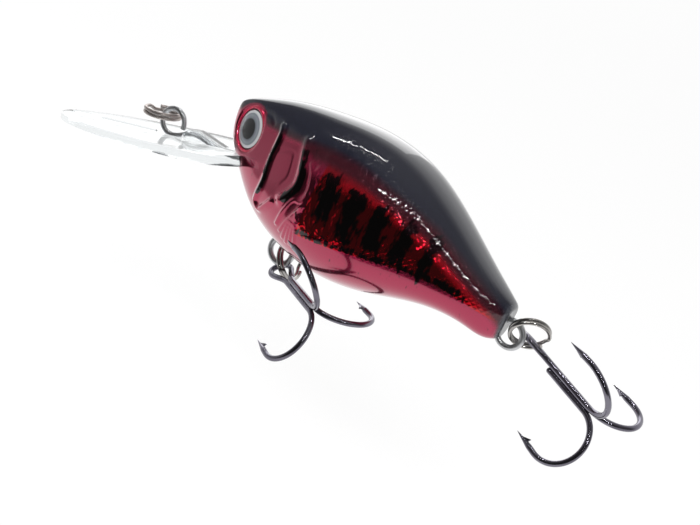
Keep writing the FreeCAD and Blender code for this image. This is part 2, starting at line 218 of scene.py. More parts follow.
# ---------------------------------------------------------------- finishes
@dataclass(frozen=True)
class LureSkin:
    """Clear-coated print on the ABS shell: black airbrushed back, candy red metallised belly
    and head, and hot-stamped foil flanks that glitter where they are embossed."""

    # Candy lacquer over metallising is a deep pinkish red; stamped foil is a purer and brighter one.
    candy: str = "a8284c"
    foil: str = "c00a1c"
    # A mist of black over the red, the full blue black of the back, and the ink of the bars, which also lays
    # the painted shade in the grooves and the painted reflection along the foil's hem.
    overspray: str = "34121a"
    black: str = "10111b"
    ink_and_painted_shade: str = "120206"
    # Grey ABS showing at the tail end, with black left in its hollows.
    bare: str = "4c4e55"
    hollow: str = "16161a"
    # Metal mirrors the room through the red, and the mist hides this share of it.
    mist_cover: float = 0.6
    candy_roughness: float = 0.2
    foil_roughness: float = 0.09
    # The embossing: small scales, and creases that are taller than they are wide.
    scale_mm: float = 0.58
    scale_bend_mm: float = 0.3
    scale_spread: float = 0.15
    crease_mm: float = 1.0
    crease_bend_mm: float = 1.6
    crease_tall: float = 3.6
    # Creases in front give way to scales between these distances behind the nose, but for a share.
    scales_start: float = 27.0
    scales_full: float = 33.0
    crease_left: float = 0.2
    scale_height: float = 0.5
    bends_per_mm: float = 0.5
    foil_depth_mm: float = 0.22
    # The clear coat follows the embossing only faintly, which breaks up the lamps' lines in it.
    coat_depth_mm: float = 0.022
    # Ragged edges of the foil and of the bars: noise added to the mask, then cut between two levels.
    tears_per_mm: float = 1.3
    tear_reach: float = 0.8
    foil_cut: Span = (0.84, 0.96)
    rags_per_mm: float = 1.5
    rag_squash: float = 0.3
    rag_reach: float = 2.2
    bar_cut: Span = (1.45, 1.75)
    streaks_per_mm: float = 2.0

    def material(self) -> bpy.types.Material:
        """Build the skin's material, which reads the masks stored on the skin's points.

        Returns:
            The finish.
        """
        material, tree = new_material("clear coated foil print on ABS")
        place = add_node(tree, "ShaderNodeAttribute", attribute_name="flank").outputs["Vector"]
        masks = {name: add_node(tree, "ShaderNodeAttribute", attribute_name=name).outputs["Fac"]
                 for name in ("back", "shade", "foil", "emboss", "bars", "tail")}
        teeth = add_node(tree, "ShaderNodeTexNoise",
                         {"Vector": place, "Scale": self.tears_per_mm, "Detail": 2.0})
        torn = add_node(tree, "ShaderNodeMath",
                        {0: teeth.outputs["Fac"], 1: self.tear_reach, 2: masks["foil"]},
                        operation="MULTIPLY_ADD")
        low, high = self.foil_cut
        masks["foil"] = add_node(tree, "ShaderNodeMapRange",
                                 {"Value": torn.outputs[0], "From Min": low, "From Max": high}).outputs[0]
        foil_height, coat_height = self.emboss(tree, place, masks["emboss"])
        opaque = add_node(tree, "ShaderNodeMath", {0: masks["back"], 1: masks["tail"]}, operation="MAXIMUM")
        misted = add_node(tree, "ShaderNodeMath", {0: masks["shade"], 1: self.mist_cover},
                          operation="MULTIPLY")
        covered = add_node(tree, "ShaderNodeMath", {0: opaque.outputs[0], 1: misted.outputs[0]},
                           operation="MAXIMUM")
        metal = add_node(tree, "ShaderNodeMath", {0: 1.0, 1: covered.outputs[0]}, operation="SUBTRACT",
                         use_clamp=True)
        rough = add_node(tree, "ShaderNodeMapRange",
                         {"Value": masks["foil"], "To Min": self.candy_roughness,
                          "To Max": self.foil_roughness})
        deep = add_node(tree, "ShaderNodeBump",
                        {"Height": foil_height, "Strength": 1.0, "Distance": self.foil_depth_mm * MM})
        shallow = add_node(tree, "ShaderNodeBump",
                           {"Height": coat_height, "Strength": 1.0, "Distance": self.coat_depth_mm * MM})
        surface = add_node(tree, "ShaderNodeBsdfPrincipled", {
            "Base Color": self.colour(tree, place, masks), "Metallic": metal.outputs[0],
            "Roughness": rough.outputs[0], "Specular IOR Level": 0.1, "Normal": deep.outputs[0],
            "Coat Weight": 1.0, "Coat Roughness": 0.01, "Coat IOR": 1.5, "Coat Normal": shallow.outputs[0]})
        add_node(tree, "ShaderNodeOutputMaterial", {"Surface": surface.outputs[0]})
        return material

    def emboss(self, tree: bpy.types.NodeTree, place: bpy.types.NodeSocket,
               mask: bpy.types.NodeSocket) -> tuple[bpy.types.NodeSocket, bpy.types.NodeSocket]:
        """Heights of the foil's embossing and of the coat over it: creases in front, scales behind.

        Args:
            tree: node tree.
            place: skin position in millimetres along and round the body.
            mask: how far a point is inside the embossed flank.

        Returns:
            The foil's height and the coat's height, each from 0 to about 1.
        """
        wobble = add_node(tree, "ShaderNodeTexNoise",
                          {"Vector": place, "Scale": self.bends_per_mm, "Detail": 2.0})
        shift = add_node(tree, "ShaderNodeVectorMath", {0: wobble.outputs["Color"], 1: (0.5, 0.5, 0.5)},
                         operation="SUBTRACT")
        bends = []
        for reach in (self.crease_bend_mm, self.scale_bend_mm):
            push = add_node(tree, "ShaderNodeVectorMath", {0: shift.outputs[0], "Scale": reach},
                            operation="SCALE")
            bends.append(add_node(tree, "ShaderNodeVectorMath", {0: place, 1: push.outputs[0]},
                                  operation="ADD").outputs[0])
        tall = add_node(tree, "ShaderNodeVectorMath", {0: bends[0], 1: (1.0, 1 / self.crease_tall, 1.0)},
                        operation="MULTIPLY")
        crease = add_node(tree, "ShaderNodeTexVoronoi",
                          {"Vector": tall.outputs[0], "Scale": 1 / self.crease_mm, "Randomness": 1.0})
        diamond = add_node(tree, "ShaderNodeVectorRotate",
                           {"Vector": bends[1], "Angle": math.radians(45)}, rotation_type="Z_AXIS")
        scales = add_node(tree, "ShaderNodeTexVoronoi",
                          {"Vector": diamond.outputs[0], "Scale": 1 / self.scale_mm,
                           "Randomness": self.scale_spread}, distance="CHEBYCHEV")
        behind = add_node(tree, "ShaderNodeSeparateXYZ", {0: place}).outputs["X"]
        aft = add_node(tree, "ShaderNodeMapRange",
                       {"Value": behind, "From Min": self.scales_start, "From Max": self.scales_full})
        creases, domes = crease.outputs["Distance"], scales.outputs["Distance"]
        fading = [add_node(tree, "ShaderNodeMapRange",
                           {"Value": aft.outputs[0], "To Min": 1.0, "To Max": left}).outputs[0]
                  for left in (self.crease_left, 0.0)]
        foil_crease, coat_crease = (
            add_node(tree, "ShaderNodeMath", {0: creases, 1: share}, operation="MULTIPLY").outputs[0]
            for share in fading)
        half = add_node(tree, "ShaderNodeMath", {0: aft.outputs[0], 1: self.scale_height},
                        operation="MULTIPLY")
        round_domes = add_node(tree, "ShaderNodeMath", {0: domes, 1: 2.0}, operation="POWER")
        heights = []
        for dome, share, rest in ((domes, half.outputs[0], foil_crease),
                                  (round_domes.outputs[0], aft.outputs[0], coat_crease)):
            relief = add_node(tree, "ShaderNodeMath", {0: dome, 1: share, 2: rest}, operation="MULTIPLY_ADD")
            heights.append(add_node(tree, "ShaderNodeMath", {0: relief.outputs[0], 1: mask},
                                    operation="MULTIPLY").outputs[0])
        return heights[0], heights[1]

    def colour(self, tree: bpy.types.NodeTree, place: bpy.types.NodeSocket,
               masks: dict[str, bpy.types.NodeSocket]) -> bpy.types.NodeSocket:
        """Colour of the print under its clear coat, with painted shade and painted reflection in the bars'
        ink, laid down one layer over the other.

        Args:
            tree: node tree.
            place: skin position in millimetres along and round the body.
            masks: strength of each layer, by name.

        Returns:
            The colour socket.
        """
        upright = add_node(tree, "ShaderNodeVectorMath", {0: place, 1: (1.0, self.rag_squash, 1.0)},
                           operation="MULTIPLY")
        rag = add_node(tree, "ShaderNodeTexNoise",
                       {"Vector": upright.outputs[0], "Scale": self.rags_per_mm, "Detail": 4.0})
        ragged = add_node(tree, "ShaderNodeMath",
                          {0: rag.outputs["Fac"], 1: self.rag_reach, 2: masks["bars"]},
                          operation="MULTIPLY_ADD")
        low, high = self.bar_cut
        # The bars' ink, which also lays the painted shade in the grooves and the painted reflection along the
        # foil's hem.
        bars_and_painted_shade = add_node(tree, "ShaderNodeMapRange",
                          {"Value": ragged.outputs[0], "From Min": low, "From Max": high})
        streak = add_node(tree, "ShaderNodeTexNoise",
                          {"Vector": place, "Scale": self.streaks_per_mm, "Detail": 3.0})
        rubbed = add_node(tree, "ShaderNodeMix",
                          {0: streak.outputs["Fac"], 6: linear(self.hollow), 7: linear(self.bare)},
                          data_type="RGBA")
        layers = ((masks["foil"], linear(self.foil)), (masks["shade"], linear(self.overspray)),
                  (bars_and_painted_shade.outputs[0], linear(self.ink_and_painted_shade)), (masks["back"], linear(self.black)),
                  (masks["tail"], rubbed.outputs[2]))
        under = linear(self.candy)
        for strength, over in layers:
            under = add_node(tree, "ShaderNodeMix", {0: strength, 6: under, 7: over},
                             data_type="RGBA").outputs[2]
        return under


@dataclass(frozen=True)
class CandyRim:
    """The raised rim round each eye: the same candy red print, smooth, with a faint haze in it."""

    bright: str = "c8294f"
    deep: str = "a81c3c"
    haze_mm: float = 1.5
    metallic: float = 0.7
    roughness: float = 0.22

    def material(self) -> bpy.types.Material:
        """Build the rim's material.

        Returns:
            The finish.
        """
        material, tree = new_material("candy red print on the eye rim")
        coords = add_node(tree, "ShaderNodeTexCoord").outputs["Object"]
        haze = add_node(tree, "ShaderNodeTexNoise",
                        {"Vector": coords, "Scale": 1 / (self.haze_mm * MM), "Detail": 2.0})
        tone = add_node(tree, "ShaderNodeMix",
                        {0: haze.outputs["Fac"], 6: linear(self.deep), 7: linear(self.bright)},
                        data_type="RGBA")
        surface = add_node(tree, "ShaderNodeBsdfPrincipled", {
            "Base Color": tone.outputs[2], "Metallic": self.metallic, "Roughness": self.roughness,
            "Coat Weight": 0.6, "Coat Roughness": 0.03})
        add_node(tree, "ShaderNodeOutputMaterial", {"Surface": surface.outputs[0]})
        return material


@dataclass(frozen=True)
class ClearPolycarbonate:
    """Injection-moulded clear polycarbonate: glassy, with a trace of grey and faint flow waves."""

    tint: str = "f4f7f8"
    roughness: float = 0.04
    # Polycarbonate's own 1.58 draws the lip's thin edges too dark and broad; this keeps them fine.
    ior: float = 1.35
    wave_mm: float = 6.0
    wave_depth_mm: float = 0.2

    def material(self) -> bpy.types.Material:
        """Build the clear plastic.

        Returns:
            The finish.
        """
        material, tree = new_material("clear polycarbonate")
        coords = add_node(tree, "ShaderNodeTexCoord").outputs["Object"]
        flow = add_node(tree, "ShaderNodeTexNoise",
                        {"Vector": coords, "Scale": 1 / (self.wave_mm * MM), "Detail": 2.0})
        wave = add_node(tree, "ShaderNodeBump",
                        {"Height": flow.outputs["Fac"], "Strength": 0.25,
                         "Distance": self.wave_depth_mm * MM})
        surface = add_node(tree, "ShaderNodeBsdfPrincipled", {
            "Base Color": linear(self.tint), "Roughness": self.roughness, "IOR": self.ior,
            "Transmission Weight": 1.0, "Normal": wave.outputs[0]})
        add_node(tree, "ShaderNodeOutputMaterial", {"Surface": surface.outputs[0]})
        return material


@dataclass(frozen=True)
class EyeFoil:
    """Silver foil eye under clear resin: black pupil, grey iris, pale ring and a thin dark edge, which is
    painted shadow of the rim.
    The resin is a gloss coat over the print, which fills the dome from edge to edge."""

    centre: tuple[float, float, float]
    normal: tuple[float, float, float]
    side: Side
    pupil_mm: float = 1.55
    iris_mm: float = 2.4
    print_mm: float = 2.78
    edge_mm: float = 3.2
    # Foil shifts a little in hue from spot to spot.
    glint_mm: float = 0.5
    glint_share: float = 0.35
    foil_metallic: float = 0.45

    def material(self) -> bpy.types.Material:
        """Build one disc's foil; its rings are drawn round the eye's own centre.

        Returns:
            The finish.
        """
        material, tree = new_material(self.side.word + " eye foil")
        coords = add_node(tree, "ShaderNodeTexCoord").outputs["Object"]
        spot = add_node(tree, "ShaderNodeVectorMath", {0: coords, 1: self.centre}, operation="SUBTRACT")
        rise = add_node(tree, "ShaderNodeVectorMath", {0: spot.outputs[0], 1: self.normal},
                        operation="DOT_PRODUCT")
        lift = add_node(tree, "ShaderNodeVectorMath", {0: self.normal, "Scale": rise.outputs["Value"]},
                        operation="SCALE")
        flat = add_node(tree, "ShaderNodeVectorMath", {0: spot.outputs[0], 1: lift.outputs[0]},
                        operation="SUBTRACT")
        reach = add_node(tree, "ShaderNodeVectorMath", {0: flat.outputs[0]}, operation="LENGTH")
        radius = add_node(tree, "ShaderNodeMath", {0: reach.outputs["Value"], 1: 1 / MM},
                          operation="MULTIPLY")
        rings = self.rings(tree, radius.outputs[0])
        glint = add_node(tree, "ShaderNodeTexNoise",
                         {"Vector": coords, "Scale": 1 / (self.glint_mm * MM), "Detail": 3.0})
        tint = add_node(tree, "ShaderNodeHueSaturation",
                        {"Color": rings, "Saturation": 1.4, "Hue": glint.outputs["Fac"]})
        colour = add_node(tree, "ShaderNodeMix", {0: self.glint_share, 6: rings, 7: tint.outputs[0]},
                          data_type="RGBA")
        metal = add_node(tree, "ShaderNodeMapRange",
                         {"Value": radius.outputs[0], "From Min": self.pupil_mm,
                          "From Max": self.pupil_mm + 0.1, "To Max": self.foil_metallic})
        surface = add_node(tree, "ShaderNodeBsdfPrincipled", {
            "Base Color": colour.outputs[2], "Metallic": metal.outputs[0], "Roughness": 0.35,
            "Specular IOR Level": 0.2, "Coat Weight": 0.6, "Coat Roughness": 0.03})
        add_node(tree, "ShaderNodeOutputMaterial", {"Surface": surface.outputs[0]})
        return material

    def rings(self, tree: bpy.types.NodeTree, radius: bpy.types.NodeSocket) -> bpy.types.NodeSocket:
        """Colours of the print from the pupil out to the dark edge, which is painted shadow of the rim.

        Args:
            tree: node tree.
            radius: millimetres from the eye's axis.

        Returns:
            The colour socket.
        """
        share = add_node(tree, "ShaderNodeMapRange", {"Value": radius, "From Max": self.edge_mm})
        ramp = add_node(tree, "ShaderNodeValToRGB", {"Fac": share.outputs[0]})
        pupil, iris, rim = (r / self.edge_mm for r in (self.pupil_mm, self.iris_mm, self.print_mm))
        # The last stop's dark maroon is painted shadow of the rim on the foil's edge.
        stops = (
            (0.0, "050507"), (pupil - 0.02, "0a0a0e"), (pupil + 0.03, "5c6066"), (iris - 0.12, "74797f"),
            (iris - 0.02, "6c7177"), (iris + 0.02, "b2b3b5"), (rim, "b9babc"), (rim + 0.025, "2a0a12"),
        )
        band = ramp.color_ramp
        band.elements[0].color = linear(stops[0][1])
        band.elements[1].position, band.elements[1].color = stops[-1][0], linear(stops[-1][1])
        for position, code in stops[1:-1]:
            band.elements.new(position).color = linear(code)
        return ramp.outputs[0]


@dataclass(frozen=True)
class PlatedMetal:
    """Plated or bare metal: faint drawing lines and a little tonal drift keep it from looking poured."""

    name: str
    colour: str
    second: str
    roughness: float
    grain_mm: float
    depth_mm: float
    drift_mm: float = 3.0
    spread: float = 0.3

    def material(self) -> bpy.types.Material:
        """Build the metal.

        Returns:
            The finish.
        """
        material, tree = new_material(self.name)
        coords = add_node(tree, "ShaderNodeTexCoord").outputs["Object"]
        grain, drift = (
            add_node(tree, "ShaderNodeTexNoise",
                     {"Vector": coords, "Scale": 1 / (size * MM), "Detail": detail}).outputs["Fac"]
            for size, detail in ((self.grain_mm, 4.0), (self.drift_mm, 1.0)))
        tone = add_node(tree, "ShaderNodeMapRange", {"Value": drift, "From Min": 0.35, "From Max": 0.65})
        colour = add_node(tree, "ShaderNodeMix",
                          {0: tone.outputs[0], 6: linear(self.colour), 7: linear(self.second)},
                          data_type="RGBA")
        rough = add_node(tree, "ShaderNodeMapRange",
                         {"Value": grain, "To Min": self.roughness * (1 - self.spread),
                          "To Max": self.roughness * (1 + self.spread)})
        bump = add_node(tree, "ShaderNodeBump",
                        {"Height": grain, "Strength": 0.3, "Distance": self.depth_mm * MM})
        surface = add_node(tree, "ShaderNodeBsdfPrincipled", {
            "Base Color": colour.outputs[2], "Metallic": 1.0, "Roughness": rough.outputs[0],
            "Normal": bump.outputs[0]})
        add_node(tree, "ShaderNodeOutputMaterial", {"Surface": surface.outputs[0]})
        return material


# Black nickel over hardened carbon steel: near black, glossy, faintly violet where the plate is thick.
BLACK_NICKEL = PlatedMetal("black nickel plate", "807d88", "686570", 0.17, 0.25, 0.006)
# Bright nickel on spring steel: warm white metal.
NICKEL = PlatedMetal("bright nickel plate", "b4b1ad", "a29f9d", 0.14, 0.3, 0.008)
# The same plating, warmer and duller, on the ring that the line is tied to.
WARM_NICKEL = PlatedMetal("warm dull nickel plate", "c2b8b4", "a89f9b", 0.42, 0.3, 0.012)
# Drawn stainless wire, bright from the die.
STAINLESS = PlatedMetal("drawn stainless wire", "cacbcd", "b4b5b7", 0.38, 0.3, 0.012)
# Cast lead: dull blue grey, uneven.
LEAD = PlatedMetal("cast lead", "6d7077", "585b62", 0.55, 0.6, 0.05)
# Hardened bearing balls, lapped.
BALL_STEEL = PlatedMetal("lapped bearing steel", "aeb0b3", "a0a2a5", 0.1, 0.3, 0.004)


# ---------------------------------------------------------------- the body's lines
class SmoothLine:
    """Natural cubic through (distance, value) pairs over the root of the distance."""

    def __init__(self, pairs: Points) -> None:
        """Solve the cubic once.

        Args:
            pairs: distances behind the nose with their values.
        """
        self.u = np.sqrt([pair[0] for pair in pairs])
        self.v = np.array([pair[1] for pair in pairs])
        gaps = np.diff(self.u)
        size = len(self.u)
        system, right = np.eye(size), np.zeros(size)
        for i in range(1, size - 1):
            system[i, i - 1:i + 2] = gaps[i - 1], 2 * (gaps[i - 1] + gaps[i]), gaps[i]
            right[i] = 6 * ((self.v[i + 1] - self.v[i]) / gaps[i] - (self.v[i] - self.v[i - 1]) / gaps[i - 1])
        self.m = np.linalg.solve(system, right)

    def at(self, distance: np.ndarray) -> np.ndarray:
        """Read the line.

        Args:
            distance: millimetres behind the nose.

        Returns:
            The line's values there.
        """
        u = np.sqrt(distance)
        i = np.clip(np.searchsorted(self.u, u) - 1, 0, len(self.u) - 2)
        gap = self.u[i + 1] - self.u[i]
        a = (self.u[i + 1] - u) / gap
        b = 1 - a
        bend = ((a ** 3 - a) * self.m[i] + (b ** 3 - b) * self.m[i + 1]) * gap * gap / 6
        return a * self.v[i] + b * self.v[i + 1] + bend


@dataclass
class BodyLines:
    """The lure's outline, in millimetres: the nose, then the top, bottom and half width behind it."""

    nose_x: float = -9.45
    nose_z: float = 8.4
    length: float = 51.2
    # Height of the widest level, and how far behind the nose it comes down to it.
    waterline: float = 4.6
    waterline_from: float = 9.0
    # Exponent of the sections, a little squarer than an ellipse's 2.
    exponent: float = 2.3
    stations: tuple[tuple[float, float, float, float], ...] = (
        (1.2, 10.0, 3.4, 1.2), (4.0, 11.6, 0.7, 2.9), (9.0, 13.8, -3.2, 5.2), (16.0, 15.7, -5.6, 7.9),
        (24.0, 16.7, -5.95, 9.4), (32.0, 15.45, -3.9, 9.0), (40.0, 11.8, -0.75, 6.7),
        (46.5, 8.3, -0.05, 4.4), (50.0, 6.7, 0.15, 2.6), (51.2, 6.15, 0.9, 1.9))

    def __post_init__(self) -> None:
        """Fit the three lines."""
        self.top, self.bottom, self.width = (
            SmoothLine(((0, start),) + tuple((station[0], station[column]) for station in self.stations))
            for column, start in ((1, self.nose_z), (2, self.nose_z), (3, 0)))

    def skin(self, distance: np.ndarray, turn: np.ndarray, inset: np.ndarray) -> np.ndarray:
        """Points of the skin.

        Args:
            distance: millimetres behind the nose.
            turn: angle round the section, 0 on the left flank, a quarter turn on the back.
            inset: millimetres that the section is drawn in.

        Returns:
            Array of points in millimetres.
        """
        top = self.top.at(distance)
        bottom = self.bottom.at(distance)
        lowered = np.minimum(np.sqrt(distance) / math.sqrt(self.waterline_from), 1)
        level = self.nose_z + (self.waterline - self.nose_z) * lowered
        level = np.minimum(np.maximum(level, bottom), top)
        c, s = np.cos(turn), np.sin(turn)
        side = np.sign(c) * np.abs(c) ** (2 / self.exponent) * np.maximum(self.width.at(distance) - inset, 0)
        height = np.maximum(np.where(s > 0, top - level, level - bottom) - inset, 0)
        rise = np.sign(s) * np.abs(s) ** (2 / self.exponent) * height
        return np.stack([self.nose_x - distance, side, level + rise], axis=1)


@dataclass
class Carving:
    """One engraved or raised line on the flank, seen from the side: its route, width and depth."""

    route: Points
    width: float
    depth: float
    spots_per_span: int = 14

    def dense(self) -> np.ndarray:
        """Curve the route through its given points.

        Returns:
            The route as closely spaced points.
        """
        knots = np.array(self.route, float)
        before = np.vstack([2 * knots[0] - knots[1], knots, 2 * knots[-1] - knots[-2]])
        steps = np.linspace(0, 1, self.spots_per_span, endpoint=False)[:, None]
        spans = []
        for i in range(len(knots) - 1):
            p0, p1, p2, p3 = before[i:i + 4]
            spans.append(0.5 * (2 * p1 + (p2 - p0) * steps + (2 * p0 - 5 * p1 + 4 * p2 - p3) * steps ** 2
                                + (3 * p1 - p0 - 3 * p2 + p3) * steps ** 3))
        return np.vstack(spans + [knots[-1:]])

    def relief(self, side_view: np.ndarray) -> np.ndarray:
        """How far each point sinks (positive) or stands out (negative).

        Args:
            side_view: distance behind the nose and height of each point.

        Returns:
            Millimetres along the skin's inward direction.
        """
        near = np.full(len(side_view), np.inf)
        for spot in self.dense():
            near = np.minimum(near, ((side_view - spot) ** 2).sum(axis=1))
        return self.depth * np.exp(-near / (self.width / 2) ** 2)


@dataclass(frozen=True)
class PrintLayout:
    """Where each layer of the print lies, with the painted shade and reflection that share the bars' ink:
    millimetres behind the nose, and of height.
    """

    # Lower edge of the black back.
    black_edge: Points = (
        (0, 8.6), (3, 8.8), (6, 9.6), (9, 10.2), (12.5, 10.9), (16, 11.8), (20, 12.7), (24, 13.1),
        (27, 13.0), (32, 12.3), (38, 10.9), (41, 9.6), (46, 7.4), (49, 6.0), (51.2, 4.6))
    black_blur: Span = (-0.7, 0.7)
    # Where the overspray starts and where it is full, counted from that edge.
    spray_start: Points = ((0, -1.4), (15, -1.4), (18, -4.6), (24, -4.6), (30, -3.2), (51, -3.0))
    spray_full: Points = ((0, -0.2), (15, -0.2), (18, -1.2), (51, -1.2))
    # Radius over which both keep clear of the eye.
    eye_clear: Span = (3.7, 4.1)
    # Lower edge of the stamped foil, and the stretches over which foil and embossing come in.
    foil_hem: Points = ((20, -0.3), (21.5, 0.0), (26.7, 1.4), (31.3, 2.8), (36.9, 4.1), (41.9, 4.5),
                        (44.8, 4.2), (48.2, 3.7), (51.2, 3.4))
    foil_from: Span = (20.2, 20.9)
    emboss_from: Span = (18.5, 20.5)
    emboss_until: Span = (49.0, 50.4)
    # How far above the black's edge the embossing runs, and the height over which it dies out.
    emboss_top: Points = ((18, 2.9), (28, 2.9), (32, 1.3), (51, 1.3))
    emboss_fade: float = 0.8
    # Upright bars: middle and half width of each, the heights they fade over, and their lean.
    bars: Points = ((22.8, 1.5), (27.1, 1.6), (31.2, 1.4), (35.0, 1.1), (38.8, 0.8))
    bar_foot: Span = (1.5, 5.4)
    bar_head: Span = (9.6, 11.6)
    bar_lean: float = 0.08
    bar_lean_about: float = 10.0
    # Dark line of painted reflection along the foil's hem, which spreads towards the tail.
    hem_shade_strength: float = 0.68
    hem_foot: Span = (-0.2, 0.1)
    hem_head: Span = (0.5, 1.4)
    hem_from: Span = (19.5, 21.0)
    hem_until: Span = (44.0, 47.5)
    hem_spread: float = 0.4
    hem_spread_over: Span = (39.0, 46.0)
    # Painted shade in the gill slot and behind the cheek plate's edge, laid in the bars' ink: route and width
    # of each.
    shaded_grooves: tuple[tuple[Points, float], ...] = (
        (((16.4, 10.4), (17.2, 8.8), (18.0, 6.8), (17.6, 5.0), (16.6, 3.2)), 1.5),
        (((10.3, 10.7), (10.8, 9.6), (11.0, 8.5), (11.2, 6.2), (11.6, 3.0), (11.4, 1.0)), 1.1))
    groove_shade_strength: float = 0.85
    groove_shade_cut: Span = (0.25, 0.8)
    groove_shade_side: Span = (1.0, 2.0)
    # Bare plastic at the tail end.
    bare_from: Span = (50.4, 51.0)
    # Millimetres between the two flanks' patterns, so that they differ.
    flank_gap: float = 40.0

    def masks(self, points: np.ndarray, eyes: list[tuple[Vector, Vector, Side]],
              nose_x: float) -> dict[str, np.ndarray]:
        """Strength of every layer at every point.

        Args:
            points: the skin's points in millimetres.
            eyes: middle, outward direction and side of each eye.
            nose_x: where the nose is.

        Returns:
            Strengths from 0 to 1, by layer.
        """
        behind, z = nose_x - points[:, 0], points[:, 2]
        from_black = z - read_line(self.black_edge, behind)
        from_hem = z - read_line(self.foil_hem, behind)
        clear = self.clear_of_eyes(points, eyes)
        start, full = read_line(self.spray_start, behind), read_line(self.spray_full, behind)
        foil = (smooth_step(*self.foil_from, behind) * smooth_step(-0.5, 0.5, from_hem)
                * (1 - smooth_step(-1.0, 0.0, from_black)))
        top = read_line(self.emboss_top, behind)
        emboss = (smooth_step(*self.emboss_from, behind) * smooth_step(-1.0, 2.0, from_hem)
                  * (1 - smooth_step(top - self.emboss_fade, top, from_black))
                  * (1 - smooth_step(*self.emboss_until, behind)))
        # Besides the printed bars, this mask holds the painted reflection along the foil's hem and the
        # painted shade in the head's grooves.
        bars = np.maximum(self.upright_bars(behind, z), self.hem_shade(behind, from_hem))
        return {"back": smooth_step(*self.black_blur, from_black) * clear, "foil": foil, "emboss": emboss,
                "bars": np.maximum(bars, self.groove_shade(points, behind)),
                "tail": smooth_step(*self.bare_from, behind),
                "shade": smooth_step(start, full, from_black) * clear}

    def clear_of_eyes(self, points: np.ndarray, eyes: list[tuple[Vector, Vector, Side]]) -> np.ndarray:
        """Share of the black that is left round the eyes.

        Args:
            points: the skin's points in millimetres.
            eyes: middle, outward direction and side of each eye.

        Returns:
            0 at an eye and 1 away from both.
        """
        clear = np.ones(len(points))
        for centre, normal, side in eyes:
            rel = points - np.array(centre) / MM
            radius = np.linalg.norm(rel - (rel @ np.array(normal))[:, None] * np.array(normal), axis=1)
            clear *= np.where(points[:, 1] * side.value > 0, smooth_step(*self.eye_clear, radius), 1)
        return clear

    def upright_bars(self, behind: np.ndarray, z: np.ndarray) -> np.ndarray:
        """Row of dark bars along the flank.

        Args:
            behind: distance of each point behind the nose.
            z: its height.

        Returns:
            Strengths from 0 to 1.
        """
        bars = np.zeros(len(behind))
        lean = (self.bar_lean_about - z) * self.bar_lean
        for middle, half in self.bars:
            stripe = 1 - smooth_step(0, half * 2.0, np.abs(behind - middle - lean))
            bars = np.maximum(bars, stripe * window(self.bar_foot, self.bar_head, z))
        return bars

    def hem_shade(self, behind: np.ndarray, from_hem: np.ndarray) -> np.ndarray:
        """Dark line along the foil's lower edge: a painted reflection of the dim room.

        Args:
            behind: distance of each point behind the nose.
            from_hem: its height over that edge.

        Returns:
            Strengths from 0 to 1.
        """
        spread = self.hem_spread * smooth_step(*self.hem_spread_over, behind)
        low, high = self.hem_head
        line = window(self.hem_foot, (low + spread, high + spread), from_hem)
        return self.hem_shade_strength * line * window(self.hem_from, self.hem_until, behind)

    def groove_shade(self, points: np.ndarray, behind: np.ndarray) -> np.ndarray:
        """Painted shade in the head's engraved lines, laid in the bars' ink.

        Args:
            points: the skin's points in millimetres.
            behind: their distances behind the nose.

        Returns:
            Strengths from 0 to 1.
        """
        view = np.stack([behind, points[:, 2]], axis=1)
        ink_and_painted_shade = np.zeros(len(points))
        for route, width in self.shaded_grooves:
            line = Carving(route, width, 1.0).relief(view)
            ink_and_painted_shade = np.maximum(ink_and_painted_shade, self.groove_shade_strength * smooth_step(*self.groove_shade_cut, line))
        return ink_and_painted_shade * smooth_step(*self.groove_shade_side, np.abs(points[:, 1]))


